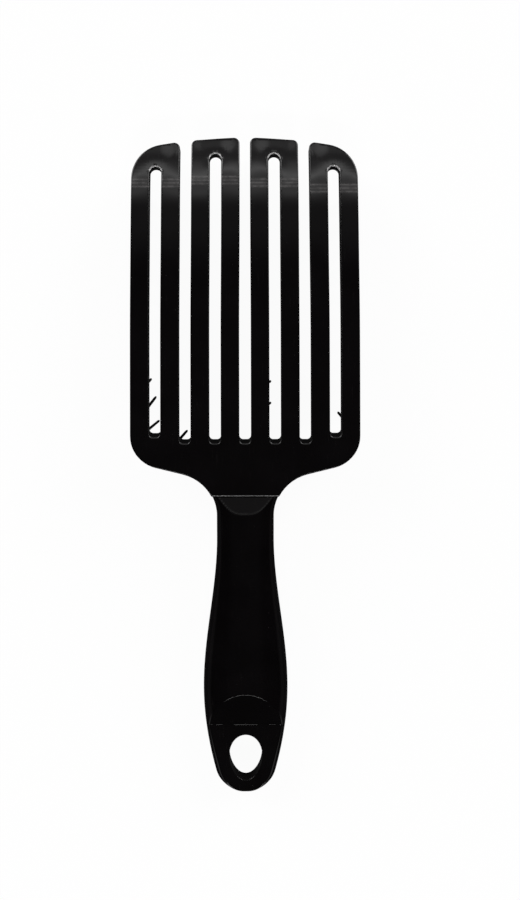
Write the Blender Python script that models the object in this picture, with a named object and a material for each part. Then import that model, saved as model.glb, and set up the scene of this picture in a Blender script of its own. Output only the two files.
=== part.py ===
"""Vented hair brush: a head of eight bars joined in loops, a handle and eight bristle strips.

Units are metres. X runs across the head, Y from the handle to the tips, Z up out of the back.
The brush lies with its back up, on its bristle tips and on the belly of its handle.
"""
import math
import random

import bmesh
import bpy
from mathutils import Vector

# Head in plan, with distances along Y measured from the seam between head and handle
HEAD_LENGTH = 0.1328
BAR_WIDTH = 0.00665
SLOT_WIDTH = 0.00445
LOOP_COUNT = 4
SLOT_FOOT = 0.0200
OUTER_SLOT_FOOT = 0.0223
SLOT_FOOT_RADIUS = 0.0015
INNER_BRIDGE = 0.0058
OUTER_BRIDGE = 0.0081
TIP_CROWN_RADIUS = 0.190
TIP_CORNER_RADIUS = 0.0016
OUTER_CORNER_RADIUS = 0.0126
SHOULDER_HEIGHT = 0.0125
SHOULDER_SLOPE = math.radians(13.8)
SHOULDER_RADIUS = 0.0121
THROAT_RADIUS = 0.0163

# Head in section
PLATE_THICKNESS = 0.0052
RIM_RADIUS = 0.0008
BOW_START = 0.0240
BOW_RADIUS = 2.0
CURL_LENGTH = 0.0360
CURL_RADIUS = 0.150

# Bristle strips and the grooves they sit in
STRIP_WIDTH = 0.0032
STRIP_DEPTH = 0.0019
STRIP_START = 0.0165
OUTER_STRIP_START = 0.0200
STRIP_TIP_MARGIN = 0.0190
TUFT_COUNT = 11
TUFT_END_MARGIN = 0.0025
STRAND_THICKNESS = 0.0008
STRAND_SPACING = 0.0016
STRAND_LENGTH = 0.0120
STRAND_TAPER = 0.7
STRAND_FAN = math.radians(3.5)
STRAND_JITTER = math.radians(1.2)
STRAND_SEED = 8
TIP_FLAT = 0.0005

# Tang of the head inside the handle
TANG_WIDTH = 0.0120
TANG_THICKNESS = 0.0030
TANG_LENGTH = 0.0200
TANG_ROOT = 0.0040

# Handle, with the neck measured from the seam, and the palm, tab and hole from the end
HANDLE_LENGTH = 0.1137
NECK_HALF_WIDTH = 0.01044
NECK_FROM = 0.0077
NECK_TO = 0.0157
PALM_TO_END = 0.0392
PALM_HALF_WIDTH = 0.01572
PALM_THICKNESS = 0.0146
SEAM_STEP = 0.00035
SEAM_CREST = 0.0020
SEAM_CHIN = 0.0028
END_RADIUS = 0.0120
END_TAPER = 0.27
END_LIFT = 0.0016
END_DEPTH = 0.0092
TAB_LENGTH = 0.0242
TAB_THICKNESS = 0.0054
FRONT_RAMP_LENGTH = 0.0062
END_RAMP_LENGTH = 0.0140
HANG_HOLE_TO_END = 0.0127
HANG_HOLE_WIDTH = 0.0134
HANG_HOLE_LENGTH = 0.0175
SEAM_POWER = 3.6
PALM_POWER = 2.0

# Fits and the fineness of round shapes
CLEARANCE = 0.0003
ARC_STEP = math.radians(15)
RIM_STEPS = 1
BOW_STEP = 0.0110
SECTION_POINTS = 28
HANDLE_STEP = 0.0065
END_ARC_STEPS = 7
END_ARC_LAST = math.radians(73)
HOLE_POINTS = 32
SHARP_ANGLE = math.radians(30)
FACING_DOWN = -0.5
MERGE = 0.000001
MARGIN = 0.010

# Places worked out from the sizes above
BAR_COUNT = 2 * LOOP_COUNT
PITCH = BAR_WIDTH + SLOT_WIDTH
HEAD_HALF_WIDTH = (BAR_COUNT * BAR_WIDTH + (BAR_COUNT - 1) * SLOT_WIDTH) / 2
SEAM_Y = HANDLE_LENGTH - (HANDLE_LENGTH + HEAD_LENGTH) / 2
TIP_Y = SEAM_Y + HEAD_LENGTH
STRIP_END = HEAD_LENGTH - STRIP_TIP_MARGIN
PALM_AT = HANDLE_LENGTH - PALM_TO_END
TAB_AT = HANDLE_LENGTH - TAB_LENGTH
END_RAMP_AT = TAB_AT - END_RAMP_LENGTH
HANG_HOLE_AT = HANDLE_LENGTH - HANG_HOLE_TO_END


def clear_scene():
    for old in list(bpy.data.objects):
        bpy.data.objects.remove(old, do_unlink=True)


def new_collection(name):
    made = bpy.data.collections.new(name)
    bpy.context.scene.collection.children.link(made)
    return made


def plastic(name, colour, roughness):
    made = bpy.data.materials.new(name)
    made.use_nodes = True
    shader = made.node_tree.nodes["Principled BSDF"]
    shader.inputs["Base Color"].default_value = (*colour, 1)
    shader.inputs["Roughness"].default_value = roughness
    shader.inputs["Metallic"].default_value = 0
    return made


def place(name, mesh, home):
    thing = bpy.data.objects.new(name, mesh)
    home.objects.link(thing)
    return thing


def mesh_from(form, name):
    mesh = bpy.data.meshes.new(name)
    form.to_mesh(mesh)
    form.free()
    return mesh


def evaluated_mesh(thing):
    bpy.context.view_layer.update()
    graph = bpy.context.evaluated_depsgraph_get()
    mesh = bpy.data.meshes.new_from_object(thing.evaluated_get(graph))
    mesh.transform(thing.matrix_world)
    bpy.data.objects.remove(thing, do_unlink=True)
    return mesh


def boolean(thing, tool, operation):
    change = thing.modifiers.new(tool.name, "BOOLEAN")
    change.operation = operation
    change.object = tool
    tool.hide_render = True
    tool.display_type = "WIRE"


def rounded_outline(corners):
    """Turn corners given as (x, y, radius) into points, with an arc at each corner."""
    points = []
    for index, (x, y, radius) in enumerate(corners):
        here = Vector((x, y))
        before = Vector(corners[index - 1][:2])
        after = Vector(corners[(index + 1) % len(corners)][:2])
        inward = (before - here).normalized()
        outward = (after - here).normalized()
        turn = math.pi - inward.angle(outward)
        if radius == 0 or turn < MERGE:
            points.append(here)
            continue
        reach = radius * math.tan(turn / 2)
        start = here + inward * reach
        centre = here + (inward + outward).normalized() * (radius / math.cos(turn / 2))
        spoke = start - centre
        side = 1 if inward.cross(outward) < 0 else -1
        steps = max(2, math.ceil(turn / ARC_STEP))
        for step in range(steps + 1):
            angle = side * turn * step / steps
            turned = Vector((spoke.x * math.cos(angle) - spoke.y * math.sin(angle),
                             spoke.x * math.sin(angle) + spoke.y * math.cos(angle)))
            points.append(centre + turned)
    return points


def flat_solid(name, outlines, thickness, rim, home):
    """Extrude closed outlines to a plate about z = 0, with rounded rims."""
    curve = bpy.data.curves.new(name, "CURVE")
    curve.dimensions = "2D"
    curve.fill_mode = "BOTH"
    curve.extrude = thickness / 2 - rim
    curve.bevel_depth = rim
    curve.bevel_resolution = RIM_STEPS
    curve.offset = -rim
    for outline in outlines:
        spline = curve.splines.new("POLY")
        spline.points.add(len(outline) - 1)
        for point, (x, y) in zip(spline.points, outline):
            point.co = (x, y, 0, 1)
        spline.use_cyclic_u = True
    mesh = evaluated_mesh(place(name, curve, home))
    form = bmesh.new()
    form.from_mesh(mesh)
    bmesh.ops.remove_doubles(form, verts=form.verts, dist=MERGE)
    bmesh.ops.recalc_face_normals(form, faces=form.faces)
    form.to_mesh(mesh)
    form.free()
    return mesh


def box(form, low, high):
    made = bmesh.ops.create_cube(form, size=1)["verts"]
    low = Vector(low)
    high = Vector(high)
    bmesh.ops.scale(form, vec=high - low, verts=made)
    bmesh.ops.translate(form, vec=(low + high) / 2, verts=made)
    return made


def slice_at(form, point, normal):
    everything = form.verts[:] + form.edges[:] + form.faces[:]
    bmesh.ops.bisect_plane(form, geom=everything, dist=MERGE, plane_co=point, plane_no=normal)


def smooth_step(share):
    return share * share * (3 - 2 * share)


def hermite(share, start, end, start_slope, end_slope):
    square = share * share
    cube = square * share
    return (start * (2 * cube - 3 * square + 1) + end * (3 * square - 2 * cube)
            + start_slope * (cube - 2 * square + share) + end_slope * (cube - square))


# Bow of the head: how far the back drops at a distance from the seam, and its slope there


def bow_drop(along):
    bow = max(0.0, along - BOW_START)
    curl = max(0.0, along - (HEAD_LENGTH - CURL_LENGTH))
    return bow * bow / (2 * BOW_RADIUS) + curl * curl / (2 * CURL_RADIUS)


def bow_slope(along):
    bow = max(0.0, along - BOW_START)
    curl = max(0.0, along - (HEAD_LENGTH - CURL_LENGTH))
    return bow / BOW_RADIUS + curl / CURL_RADIUS


def bend(place_in_plate):
    """Carry a point of the flat plate, with its back at z = 0, on to the bowed head."""
    along = place_in_plate.y - SEAM_Y
    normal = Vector((0, bow_slope(along), 1)).normalized()
    back = Vector((place_in_plate.x, place_in_plate.y, -bow_drop(along)))
    return back + normal * place_in_plate.z


def bow_stations():
    count = math.ceil((HEAD_LENGTH - BOW_START) / BOW_STEP)
    return [SEAM_Y + BOW_START + (HEAD_LENGTH - BOW_START) * step / count for step in range(count)]


# Head frame


def bar_centre(index):
    return (index - (BAR_COUNT - 1) / 2) * PITCH


def tip_height(x):
    return TIP_Y - x * x / (2 * TIP_CROWN_RADIUS)


def head_outline():
    """Corners of the right half, from the middle gap to the neck, then mirrored."""
    right = []
    for loop in range(LOOP_COUNT // 2, LOOP_COUNT):
        left_edge = bar_centre(2 * loop) - BAR_WIDTH / 2
        right_edge = bar_centre(2 * loop + 1) + BAR_WIDTH / 2
        last = loop == LOOP_COUNT - 1
        right.append((left_edge, SEAM_Y + SLOT_FOOT, SLOT_FOOT_RADIUS))
        right.append((left_edge, tip_height(left_edge), TIP_CORNER_RADIUS))
        right.append((right_edge, tip_height(right_edge),
                      OUTER_CORNER_RADIUS if last else TIP_CORNER_RADIUS))
        if not last:
            right.append((right_edge, SEAM_Y + SLOT_FOOT, SLOT_FOOT_RADIUS))
    shoulder = SEAM_Y + SHOULDER_HEIGHT
    fall = (HEAD_HALF_WIDTH - NECK_HALF_WIDTH) * math.tan(SHOULDER_SLOPE)
    right.append((HEAD_HALF_WIDTH, shoulder, SHOULDER_RADIUS))
    right.append((NECK_HALF_WIDTH, shoulder - fall, THROAT_RADIUS))
    right.append((NECK_HALF_WIDTH, SEAM_Y - THROAT_RADIUS - MARGIN, 0))
    left = [(-x, y, radius) for x, y, radius in reversed(right)]
    return rounded_outline(right + left)


def slot_outline(loop):
    """The closed slot between the two bars of one loop: round at its tip, flat at its foot."""
    centre = (bar_centre(2 * loop) + bar_centre(2 * loop + 1)) / 2
    outer = loop in (0, LOOP_COUNT - 1)
    foot = SEAM_Y + (OUTER_SLOT_FOOT if outer else SLOT_FOOT)
    top = tip_height(centre) - (OUTER_BRIDGE if outer else INNER_BRIDGE)
    half = SLOT_WIDTH / 2
    round_end = half - MERGE
    return rounded_outline([(centre - half, foot, SLOT_FOOT_RADIUS),
                            (centre + half, foot, SLOT_FOOT_RADIUS),
                            (centre + half, top, round_end),
                            (centre - half, top, round_end)])


def strip_start(index):
    outer = index in (0, BAR_COUNT - 1)
    return SEAM_Y + (OUTER_STRIP_START if outer else STRIP_START)


def groove_cutters(home):
    form = bmesh.new()
    half = STRIP_WIDTH / 2 + CLEARANCE
    for index in range(BAR_COUNT):
        x = bar_centre(index)
        box(form,
            (x - half, strip_start(index) - CLEARANCE, -PLATE_THICKNESS - MARGIN),
            (x + half, SEAM_Y + STRIP_END + CLEARANCE, -PLATE_THICKNESS + STRIP_DEPTH + CLEARANCE))
    return place("groove_cutters", mesh_from(form, "groove_cutters"), home)


def tang(name, clearance, lift, home):
    """The tang, from inside the throat to its end, sloping with the handle's middle line."""
    half_width = TANG_WIDTH / 2 + clearance
    half_depth = TANG_THICKNESS / 2 + clearance
    end = SEAM_Y - TANG_LENGTH - clearance
    form = bmesh.new()
    box(form, (-half_width, end, -half_depth), (half_width, SEAM_Y + TANG_ROOT, half_depth))
    slice_at(form, (0, SEAM_Y, 0), (0, 1, 0))
    for vert in form.verts:
        vert.co.z += tang_height(max(0.0, SEAM_Y - vert.co.y), lift)
    return place(name, mesh_from(form, name), home)


def head_frame(home, cutters, lift):
    outlines = [head_outline()]
    for loop in range(LOOP_COUNT):
        outlines.append(slot_outline(loop))
    plate = flat_solid("head_frame", outlines, PLATE_THICKNESS, RIM_RADIUS, cutters)
    form = bmesh.new()
    form.from_mesh(plate)
    bmesh.ops.translate(form, vec=(0, 0, -PLATE_THICKNESS / 2), verts=form.verts)
    everything = form.verts[:] + form.edges[:] + form.faces[:]
    bmesh.ops.bisect_plane(form, geom=everything, dist=MERGE, plane_co=(0, SEAM_Y, 0),
                           plane_no=(0, 1, 0), clear_inner=True)
    rim = [edge for edge in form.edges if edge.is_boundary]
    bmesh.ops.holes_fill(form, edges=rim)
    form.to_mesh(plate)
    form.free()
    blank = place("head_blank", plate, cutters)
    boolean(blank, tang("tang_core", 0, lift, cutters), "UNION")
    boolean(blank, groove_cutters(cutters), "DIFFERENCE")
    mesh = evaluated_mesh(blank)
    form = bmesh.new()
    form.from_mesh(mesh)
    for station in bow_stations():
        slice_at(form, (0, station, 0), (0, 1, 0))
    for vert in form.verts:
        vert.co = bend(vert.co) + Vector((0, 0, lift))
    form.to_mesh(mesh)
    form.free()
    mesh.name = "head_frame"
    return place("head_frame", mesh, home)


# Bristle strips


def tuft_places(index):
    first = strip_start(index) + TUFT_END_MARGIN
    last = SEAM_Y + STRIP_END - TUFT_END_MARGIN
    return [first + (last - first) * tuft / (TUFT_COUNT - 1) for tuft in range(TUFT_COUNT)]


def strand_edges(centre):
    """The lines that bound the two strands on either side of a tuft's centre."""
    lines = []
    for side in (-1, 1):
        for edge in (-1, 1):
            lines.append(centre + side * STRAND_SPACING / 2 + edge * STRAND_THICKNESS / 2)
    return lines


def bristle_form(index, draw):
    """One carrier with its strands drawn out of its front face, bent with its bar."""
    x = bar_centre(index)
    front = -PLATE_THICKNESS
    half = STRIP_WIDTH / 2
    form = bmesh.new()
    box(form,
        (x - half, strip_start(index), front),
        (x + half, SEAM_Y + STRIP_END, front + STRIP_DEPTH))
    for tuft in tuft_places(index):
        for line in strand_edges(tuft):
            slice_at(form, (0, line, 0), (0, 1, 0))
    face_down = [face for face in form.faces if face.normal.z < FACING_DOWN]
    for line in strand_edges(x):
        touched = {item for face in face_down for item in (*face.verts, *face.edges, face)}
        bmesh.ops.bisect_plane(form, geom=list(touched), dist=MERGE, plane_co=(line, 0, 0),
                               plane_no=(1, 0, 0))
        face_down = [face for face in form.faces if face.normal.z < FACING_DOWN]
    strands = []
    for tuft in tuft_places(index):
        for across in (-1, 1):
            for along in (-1, 1):
                strands.append((x + across * STRAND_SPACING / 2, tuft + along * STRAND_SPACING / 2,
                                across, along))
    roots = []
    for root_x, root_y, across, along in strands:
        near = min(face_down, key=lambda face: (face.calc_center_median()
                                                - Vector((root_x, root_y, front))).length)
        roots.append((near, across, along))
    for face, across, along in roots:
        drawn = bmesh.ops.extrude_discrete_faces(form, faces=[face])["faces"][0]
        lean_x = across * STRAND_FAN + draw.uniform(-STRAND_JITTER, STRAND_JITTER)
        lean_y = along * STRAND_FAN + draw.uniform(-STRAND_JITTER, STRAND_JITTER)
        tip = drawn.calc_center_median()
        reach = Vector((math.tan(lean_x), math.tan(lean_y), -1)).normalized() * STRAND_LENGTH
        for vert in drawn.verts:
            vert.co = tip + (vert.co - tip) * STRAND_TAPER + reach
    for vert in form.verts:
        vert.co = bend(vert.co)
    return form


def bristle_strips(home):
    """Make the strips, and say how high the back lies when the longest tips are cut flat."""
    draw = random.Random(STRAND_SEED)
    forms = [bristle_form(index, draw) for index in range(BAR_COUNT)]
    lowest = min(vert.co.z for form in forms for vert in form.verts)
    lift = -lowest - TIP_FLAT
    strips = []
    for index, form in enumerate(forms):
        for vert in form.verts:
            vert.co.z = max(0.0, vert.co.z + lift)
        name = f"bristle_strip_{index + 1}"
        strips.append(place(name, mesh_from(form, name), home))
    return strips, lift


# Handle


def half_width(along):
    """Half the handle's width at a distance from the seam, up to its round end."""
    if along < NECK_FROM:
        rise = THROAT_RADIUS - math.sqrt(THROAT_RADIUS ** 2 - (NECK_FROM - along) ** 2)
        return NECK_HALF_WIDTH + rise
    if along < NECK_TO:
        return NECK_HALF_WIDTH
    if along < PALM_AT:
        share = (along - NECK_TO) / (PALM_AT - NECK_TO)
        return NECK_HALF_WIDTH + (PALM_HALF_WIDTH - NECK_HALF_WIDTH) * smooth_step(share)
    run = end_tangent() - PALM_AT
    share = (along - PALM_AT) / run
    return hermite(share, PALM_HALF_WIDTH, END_RADIUS * math.cos(math.atan(END_TAPER)),
                   0, -END_TAPER * run)


def end_centre():
    return HANDLE_LENGTH - END_RADIUS * math.sin(END_ARC_LAST)


def end_tangent():
    return end_centre() + END_RADIUS * math.sin(math.atan(END_TAPER))


def underside(along, lift):
    """Height of the belly: down to the resting plane at the palm, then up to the end."""
    seam = lift - PLATE_THICKNESS - SEAM_CHIN
    if along < PALM_AT:
        return seam * (1 - smooth_step(along / PALM_AT))
    return END_LIFT * smooth_step((along - PALM_AT) / (HANDLE_LENGTH - PALM_AT))


def crest(along, lift):
    seam = lift + SEAM_CREST
    if along < PALM_AT:
        return seam + (PALM_THICKNESS - seam) * smooth_step(along / PALM_AT)
    share = (along - PALM_AT) / (HANDLE_LENGTH - PALM_AT)
    return PALM_THICKNESS + (END_LIFT + END_DEPTH - PALM_THICKNESS) * smooth_step(share)


def middle(along, lift):
    return (underside(along, lift) + crest(along, lift)) / 2


def tang_height(along, lift):
    """Middle of the tang under the plate's back, sloping as the handle does near the seam."""
    fall = (middle(0, lift) - middle(TANG_LENGTH, lift)) / TANG_LENGTH
    return -PLATE_THICKNESS / 2 - fall * along


def handle_stations():
    run = end_tangent()
    count = math.ceil(run / HANDLE_STEP)
    stations = [(run * step / count, half_width(run * step / count)) for step in range(count)]
    first = math.atan(END_TAPER)
    for step in range(END_ARC_STEPS + 1):
        angle = first + (END_ARC_LAST - first) * step / END_ARC_STEPS
        stations.append((end_centre() + END_RADIUS * math.sin(angle), END_RADIUS * math.cos(angle)))
    return stations


def section_power(along):
    """How square the section is: flat near the head, and an oval from the palm to the end."""
    share = min(1.0, along / PALM_AT)
    return SEAM_POWER + (PALM_POWER - SEAM_POWER) * smooth_step(share)


def section_point(step, wide, low, high, power):
    """A point of the handle's section, a rounded oval between two heights."""
    angle = 2 * math.pi * step / SECTION_POINTS
    across = math.copysign(abs(math.cos(angle)) ** (2 / power), math.cos(angle))
    up = math.copysign(abs(math.sin(angle)) ** (2 / power), math.sin(angle))
    return across * wide, (low + high) / 2 + up * (high - low) / 2


def handle_loft(lift):
    form = bmesh.new()
    rings = []
    for along, wide in handle_stations():
        ring = []
        for step in range(SECTION_POINTS):
            x, z = section_point(step, wide, underside(along, lift), crest(along, lift),
                                 section_power(along))
            ring.append(form.verts.new((x, SEAM_Y - CLEARANCE - along, z)))
        rings.append(ring)
    for ring, following in zip(rings, rings[1:]):
        for step in range(SECTION_POINTS):
            after = (step + 1) % SECTION_POINTS
            form.faces.new((ring[step], ring[after], following[after], following[step]))
    form.faces.new(rings[0])
    form.faces.new(rings[-1])
    bmesh.ops.recalc_face_normals(form, faces=form.faces)
    return mesh_from(form, "handle")


def side_cutter(name, profile, home):
    """A cutter with the given (distance from the seam, height) profile, across the whole handle."""
    outline = [(SEAM_Y - along, height) for along, height in profile]
    mesh = flat_solid(name, [outline], 2 * (PALM_HALF_WIDTH + MARGIN), 0, home)
    for vert in mesh.vertices:
        vert.co = (vert.co.z, vert.co.x, vert.co.y)
    return place(name, mesh, home)


def ramp_cutters(lift, home):
    """Planes that slope off the crest at the seam, and thin the end to a tab."""
    high = lift + MARGIN
    low = -MARGIN
    far = HANDLE_LENGTH + MARGIN
    ramp_foot = lift + SEAM_STEP
    ramp_top = crest(FRONT_RAMP_LENGTH, lift)
    rise = (ramp_top - ramp_foot) / FRONT_RAMP_LENGTH
    front = [(-MARGIN, ramp_foot - rise * MARGIN),
             (FRONT_RAMP_LENGTH + MARGIN, ramp_top + rise * MARGIN),
             (-MARGIN, ramp_top + rise * MARGIN)]
    tab_start = middle(TAB_AT, lift)
    tab_fall = (tab_start - middle(HANDLE_LENGTH, lift)) / (HANDLE_LENGTH - TAB_AT)
    tab_end = tab_start - tab_fall * (far - TAB_AT)
    half = TAB_THICKNESS / 2
    top_ramp = (crest(END_RAMP_AT, lift) - tab_start - half) / (TAB_AT - END_RAMP_AT)
    top_from = TAB_AT - (high - tab_start - half) / top_ramp
    top = [(top_from, high), (TAB_AT, tab_start + half), (far, tab_end + half), (far, high)]
    under_ramp = (tab_start - half - underside(END_RAMP_AT, lift)) / (TAB_AT - END_RAMP_AT)
    under_from = TAB_AT - (tab_start - half - low) / under_ramp
    under = [(under_from, low), (TAB_AT, tab_start - half), (far, tab_end - half), (far, low)]
    return [side_cutter("front_ramp", front, home), side_cutter("tab_top", top, home),
            side_cutter("tab_underside", under, home)]


def hang_hole_cutter(lift, home):
    bpy.ops.mesh.primitive_cylinder_add(vertices=HOLE_POINTS, radius=0.5, depth=1)
    cutter = bpy.context.active_object
    cutter.name = "hang_hole"
    for old in cutter.users_collection:
        old.objects.unlink(cutter)
    home.objects.link(cutter)
    cutter.scale = (HANG_HOLE_WIDTH, HANG_HOLE_LENGTH, 2 * (END_DEPTH + MARGIN))
    cutter.location = (0, SEAM_Y - HANG_HOLE_AT, middle(HANG_HOLE_AT, lift))
    return cutter


def handle(home, cutters, lift):
    grip = place("handle", handle_loft(lift), home)
    for cutter in ramp_cutters(lift, cutters):
        boolean(grip, cutter, "DIFFERENCE")
    boolean(grip, hang_hole_cutter(lift, cutters), "DIFFERENCE")
    socket = tang("tang_socket", CLEARANCE, lift, cutters)
    socket.location.z = lift
    boolean(grip, socket, "DIFFERENCE")
    return grip


def main():
    clear_scene()
    home = new_collection("vented_hair_brush")
    cutters = new_collection("cutters")
    strips, lift = bristle_strips(home)
    head = head_frame(home, cutters, lift)
    grip = handle(home, cutters, lift)
    head.data.materials.append(plastic("head_plastic", (0.012, 0.011, 0.012), 0.32))
    grip.data.materials.append(plastic("handle_plastic", (0.014, 0.013, 0.014), 0.38))
    nylon = plastic("bristle_nylon", (0.016, 0.015, 0.016), 0.45)
    for strip in strips:
        strip.data.materials.append(nylon)
    for thing in (head, grip):
        thing.data.shade_smooth()
        thing.data.set_sharp_from_angle(angle=SHARP_ANGLE)


main()
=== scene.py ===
"""Vented hair brush, dressed for its picture.

Metres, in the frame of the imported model: X across the head, Y from the handle to the tips,
Z up out of the back. The brush lies with its back up on a pale floor.
"""
import functools
import math
import random

import bmesh
import bpy
from mathutils import Matrix, Vector


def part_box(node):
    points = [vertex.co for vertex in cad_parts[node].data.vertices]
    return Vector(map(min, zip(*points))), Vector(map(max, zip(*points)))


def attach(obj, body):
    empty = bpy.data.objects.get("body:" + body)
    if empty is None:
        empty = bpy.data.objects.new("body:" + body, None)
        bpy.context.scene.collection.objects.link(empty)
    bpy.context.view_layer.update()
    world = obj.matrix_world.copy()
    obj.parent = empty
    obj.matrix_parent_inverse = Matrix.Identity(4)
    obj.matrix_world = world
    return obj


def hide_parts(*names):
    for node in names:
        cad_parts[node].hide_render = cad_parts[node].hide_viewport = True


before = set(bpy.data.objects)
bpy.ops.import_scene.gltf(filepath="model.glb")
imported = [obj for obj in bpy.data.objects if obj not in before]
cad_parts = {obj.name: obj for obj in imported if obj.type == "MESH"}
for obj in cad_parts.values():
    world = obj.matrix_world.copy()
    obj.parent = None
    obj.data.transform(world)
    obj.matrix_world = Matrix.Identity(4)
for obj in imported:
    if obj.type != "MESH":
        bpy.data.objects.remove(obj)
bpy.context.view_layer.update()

# Head in plan, with distances along Y measured from the seam between head and handle
HEAD_LENGTH = 0.1328
BAR_WIDTH = 0.00680
SLOT_WIDTH = 0.00430
LOOPS = 4
BARS = 2 * LOOPS
PITCH = BAR_WIDTH + SLOT_WIDTH
HEAD_HALF_WIDTH = (BARS * BAR_WIDTH + (BARS - 1) * SLOT_WIDTH) / 2
SLOT_FOOT = 0.0202
OUTER_SLOT_FOOT = 0.0225
FOOT_RADIUS = 0.0015
FOOT_SLOPE = 0.0009
FOOT_SLOPE_RUN = 0.0020
INNER_BRIDGE = 0.00603
OUTER_BRIDGE = 0.00833
CROWN_RADIUS = 0.190
TIP_RISE = 0.00031
TIP_CORNER = 0.0021
OUTER_CORNER = 0.0126
SHOULDER_HEIGHT = 0.0125
SHOULDER_SLOPE = math.radians(13.8)
SHOULDER_RADIUS = 0.0121
THROAT_RADIUS = 0.0163
NECK_HALF_WIDTH = 0.01056

# How much the head spreads towards the tips, as a share of x, and how far each loop leans there
SPREAD = 0.0050
SPREAD_FROM = 0.0080
SPREAD_RUN = 0.0100
LEAN = (0.00022, 0.00024, -0.00013, -0.00032)
LEAN_FROM = 0.0573
LEAN_RUN = 0.0515

# Head in section
PLATE = 0.0052
RIM = 0.00050
ARCH_RIM = 0.00080
ARCH_RIM_RUN = 0.0030
BOW_START = 0.0240
BOW_RADIUS = 2.0
CURL_LENGTH = 0.0360
CURL_RADIUS = 0.150
OUTER_CURL = 0.0100
OUTER_CURL_FROM = 0.1145
OUTER_CURL_RUN = 0.0080
DIP_DEPTH = 0.00006
DIP_REACH = 0.0042
PILLOW = 0.00035
PILLOW_RUN = 0.0150
PILLOW_LENGTH = 1.6 * PILLOW_RUN
PILLOW_SHIFT = 0.0034
PILLOW_LIMIT = 0.9
SEAM_ROUND = 0.00070
SEAM_GAP = 0.00012
SEAM_RISE = -0.00045

# Tang, bristle rows and the grooves they sit in
TANG = Vector((0.0120, 0.0200, 0.0030))
TANG_ROOT = 0.0040
STRIP_WIDTH = 0.0032
STRIP_DEPTH = 0.0019
STRIP_START = 0.0165
OUTER_STRIP_START = 0.0200
STRIP_TIP_MARGIN = 0.0190
STRIP_EDGE = 0.00022
CLEARANCE = 0.0003

# Bristles: a tuft has a row of them for each place across, and those off its middle fan out
TUFTS = 11
TUFT_MARGIN = 0.0025
TUFT_ACROSS = (-1, 0, 1)
TUFT_ALONG = (-1.5, -0.5, 0.5, 1.5)
TUFT_STEP = (0.00092, 0.00082)
TUFT_JITTER = 0.00008
FAN_DEGREES = (3.2, 2.6)
FAN_JITTER = (0.9, 1.1)
ROOT_SINK = 0.0001
BRISTLE_LENGTH = 0.0120
BRISTLE_SHORTEST = 0.955
BRISTLE_RADIUS = 0.00034
BRISTLE_TIP_RADIUS = 0.00026
BRISTLE_SAG = 0.0005
SEED = 21

# Rings along a bristle: (share of its length, share of its radius), from a flared root to a blunt tip
BRISTLE_RINGS = ((0.0, 1.9), (0.08, 1.0), (0.35, 1.0), (0.68, 1.0), (0.96, 1.0), (1.0, 0.55))

# Stray bristles: (bar, root x, root y, tip x, tip y)
STRAYS = (
    (0, -0.0376, 0.0206, -0.0340, 0.0251),
    (0, -0.0376, 0.0128, -0.0328, 0.0159),
    (0, -0.0381, 0.0296, -0.0358, 0.0320),
    (1, -0.0264, 0.0082, -0.0221, 0.0121),
    (4, 0.0068, 0.0302, 0.0097, 0.0311),
    (4, 0.0068, 0.0219, 0.0097, 0.0228),
    (7, 0.0380, 0.0163, 0.0354, 0.0190),
    (7, 0.0390, 0.0462, 0.0367, 0.0473),
)
STRAY_DEPTH = 0.0101
STRAY_RADIUS = 0.00064
STRAY_SAG = 0.25

# Handle, with the neck measured from the seam, and the palm, tab and hole from the end
HANDLE_LENGTH = 0.1137
NECK_FROM = 0.0077
NECK_TO = 0.0157
PALM_AT = HANDLE_LENGTH - 0.0392
PALM_HALF_WIDTH = 0.01590
PALM_THICKNESS = 0.0146
SEAM_STEP = -0.00008
SEAM_CREST = 0.0015
SEAM_CHIN = 0.0028
SEAM_POWER = 2.7
PALM_POWER = 2.0
END_RADIUS = 0.0118
END_POWER = 2.4
END_TAPER = 0.27
END_ARC_LAST = math.radians(78.6)
END_LIFT = 0.0016
END_DEPTH = 0.0092
END_ROUND = 0.00006
TAB_AT = HANDLE_LENGTH - 0.0254
TAB = 0.0054
TAB_POWER = (20.0, 300.0)
TAB_POWER_RUN = 0.0080
END_RAMP_AT = TAB_AT - 0.0132
FRONT_RAMP_SLOPE = 0.238
HOLE_AT = HANDLE_LENGTH - 0.01284
HOLE = (0.00617, 0.00868)
HOLE_EGG = 0.10
HOLE_FLARE = 0.00012
HOLE_MOUTH = 1.5 * HOLE_FLARE
FLARE_TURN = math.radians(80)

# How soft the edges of the handle's facets are, in their middle and at the handle's sides
EDGE_SOFT = 0.000015
SIDE_SOFT = 0.0006
FRONT_SIDE_SOFT = SIDE_SOFT / 3
SIDE_POWER = 4
CREASE_SOFT = 0.000004
CREASE_FADE = 0.6
SOFT_CREASE = (0.0045, 0.0090, 0.0109)
ARC_LIMIT = 0.0040
ARC_RUN = 0.0060

# Painted highlights along the arches' rims, the seam edge and the front ramp's edge, and the walls of
# the hang hole
ARCH_HIGHLIGHT_RUN = 0.0010
SEAM_HIGHLIGHT_PAINT = 0.105
FRONT_ZONE = 0.0100
RAMP_HIGHLIGHT_PAINT = 0.020
RAMP_HIGHLIGHT_RUN = 0.00012
HOLE_WALL = 1.03
HOLE_WALL_RUN = 0.025

# Places worked out from the sizes above
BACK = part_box("head_frame")[1].z
SEAM = (HANDLE_LENGTH - HEAD_LENGTH) / 2
PARTING = SEAM + SEAM_RISE
HANDLE_FROM = SEAM - CLEARANCE
TIP = SEAM + HEAD_LENGTH
TIP_ZONE = SEAM + HEAD_LENGTH - CURL_LENGTH
END_CENTRE = HANDLE_LENGTH - END_RADIUS * math.sin(END_ARC_LAST)
HANDLE_END = END_CENTRE + END_RADIUS
END_SHARE = END_TAPER ** (1 / (END_POWER - 1))
END_HALF_WIDTH = END_RADIUS / (1 + END_SHARE ** END_POWER) ** (1 / END_POWER)
END_TANGENT = END_CENTRE + END_SHARE * END_HALF_WIDTH

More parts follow.
